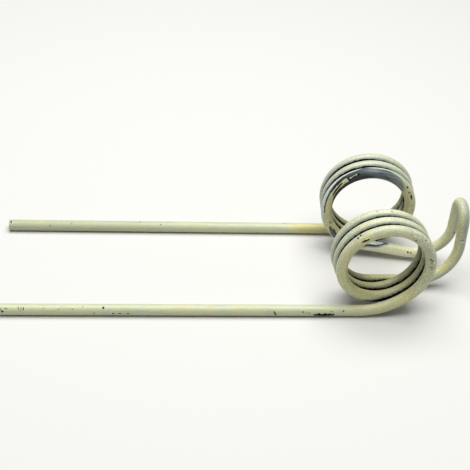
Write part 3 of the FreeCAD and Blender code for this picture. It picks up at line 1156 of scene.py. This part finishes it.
bare_steel = maths("SUBTRACT", bare, mark["flakes"])
chips_grime_and_shade = maths("MAXIMUM", mark["chips"], crease_grime_and_shade)
blackness = maths("MAXIMUM", chips_grime_and_shade, mark["cracks"])
roughness = blend_numbers(cloud, *PAINT_ROUGHNESS)
roughness = blend_numbers(maths("MAXIMUM", bare, attribute("dull")), roughness, DULL_ROUGHNESS)
roughness = blend_numbers(chips_grime_and_shade, roughness, CHIP_GRIME_AND_SHADE_ROUGHNESS)
feed(shader.inputs["Roughness"], roughness)
steel_metal = times(bare_steel, STEEL_METAL)
black_metal = times(blackness, BLACK_METAL)
feed(shader.inputs["Metallic"], maths("MAXIMUM", steel_metal, black_metal))

height = times(maths("MAXIMUM", chips_grime_and_shade, bare_steel), -PAINT_THICKNESS)
height = maths("MULTIPLY_ADD", noise(place, PEEL_DIMPLES, 1.0), ORANGE_PEEL, height)
height = maths("MULTIPLY_ADD", times(mottle, thin_paint_and_shade), PITTING, height)
relief = tree.nodes.new("ShaderNodeBump")
relief.inputs["Distance"].default_value = MM
feed(relief.inputs["Height"], height)
feed(shader.inputs["Normal"], relief.outputs["Normal"])
wire_mesh.materials.append(paint)
print("paint:", len(tree.nodes), "nodes")

# %% [markdown]
# ## The floor
#
# Catalogue photos are taken on a sheet of pale card. One large plane does for it, much larger
# than the view. Its grey is lighter than it looks here: the lamps bring it up to white.

# %% Lay the floor
FLOOR_SIZE = 6.0
FLOOR_GREY = (0.64, 0.635, 0.615, 1)
CARD_ROUGHNESS = 0.9

corner = FLOOR_SIZE / 2
floor_corners = [(-corner, -corner, 0), (corner, -corner, 0), (corner, corner, 0), (-corner, corner, 0)]
floor_mesh = bpy.data.meshes.new("floor")
floor_mesh.from_pydata(floor_corners, [], [(0, 1, 2, 3)])
floor = bpy.data.objects.new("floor", floor_mesh)
bpy.context.scene.collection.objects.link(floor)
card = bpy.data.materials.new("pale_card")
card.use_nodes = True
card_shader = card.node_tree.nodes["Principled BSDF"]
card_shader.inputs["Base Color"].default_value = FLOOR_GREY
card_shader.inputs["Roughness"].default_value = CARD_ROUGHNESS
floor_mesh.materials.append(card)
print("floor:", FLOOR_SIZE, "m")

# %% [markdown]
# ## The light
#
# In the photo the bright line on each tine lies a third of the way down from its top edge,
# seen from 38 degrees above. Light that mirrors there comes from almost straight overhead,
# so one large softbox hangs above, a little behind the middle. The rest is a dim, faintly
# blue room, which keeps the undersides from going black.

# %% Hang the light
LAMP_PLACE = (0.0, 0.15, 1.5)
LAMP_AIM = (0.0, 0.0, 0.0)
LAMP_SIZE = 1.5
LAMP_POWER = 40.0
LAMP_COLOUR = (1.0, 0.99, 0.97)
ROOM_COLOUR = (0.84, 0.93, 1.0, 1)
ROOM_STRENGTH = 0.22

lamp = bpy.data.lights.new("overhead_softbox", "AREA")
lamp.size = LAMP_SIZE
lamp.energy = LAMP_POWER
lamp.color = LAMP_COLOUR
softbox = bpy.data.objects.new("overhead_softbox", lamp)
softbox.location = LAMP_PLACE
softbox.rotation_euler = (Vector(LAMP_AIM) - Vector(LAMP_PLACE)).to_track_quat("-Z", "Y").to_euler()
bpy.context.scene.collection.objects.link(softbox)

room_light = bpy.data.worlds.new("dim_blue_room")
room_light.use_nodes = True
background = room_light.node_tree.nodes["Background"]
background.inputs["Color"].default_value = ROOM_COLOUR
background.inputs["Strength"].default_value = ROOM_STRENGTH
bpy.context.scene.world = room_light
bpy.context.scene.view_settings.view_transform = "Standard"
print("softbox:", LAMP_PLACE, "size", LAMP_SIZE, "m")

# %% [markdown]
# ## The camera
#
# The photo was taken at the side of the front tine, from 38 degrees above it and with a
# fairly long lens, so the far tine looks only a little smaller. A pinhole camera and the
# sizes of the wire were fitted together to the outline in the photo, which gave these
# numbers: how far the camera is turned, dropped and rolled, where it stands, and its focal
# length in pixels of the photo. The three directions of its frame follow from the angles.

# %% Set up the camera
PHOTO_WIDTH = 470
FOCAL_PIXELS = 1142.3
SENSOR = 36.0
CAMERA_YAW = 7.588
CAMERA_DROP = 37.788
CAMERA_ROLL = 5.267
CAMERA_DISTANCE = 921.6
AIM_FROM_COILS = np.array([-113.66, 0.0, -8.49])
COIL_CENTRE = np.array([112.57, 0.0, 46.37])
NEAREST_VIEW = 0.01

yaw, drop, roll = np.radians([CAMERA_YAW, CAMERA_DROP, CAMERA_ROLL])
forward = np.array([np.sin(yaw) * np.cos(drop), np.cos(yaw) * np.cos(drop), -np.sin(drop)])
level = np.array([np.cos(yaw), -np.sin(yaw), 0.0])
upward = np.cross(level, forward)
right = level * np.cos(roll) + upward * np.sin(roll)
up = upward * np.cos(roll) - level * np.sin(roll)
standpoint = (COIL_CENTRE + AIM_FROM_COILS - CAMERA_DISTANCE * forward) * MM
lens = bpy.data.cameras.new("photo_camera")
lens.sensor_width = SENSOR
lens.lens = SENSOR * FOCAL_PIXELS / PHOTO_WIDTH
lens.clip_start = NEAREST_VIEW
camera = bpy.data.objects.new("photo_camera", lens)
placing = np.column_stack([right, up, -forward, standpoint])
camera.matrix_world = Matrix(placing.tolist() + [[0, 0, 0, 1]])
bpy.context.scene.collection.objects.link(camera)
bpy.context.scene.camera = camera
print("camera:", np.round(standpoint, 3), "lens", round(lens.lens, 1), "mm")
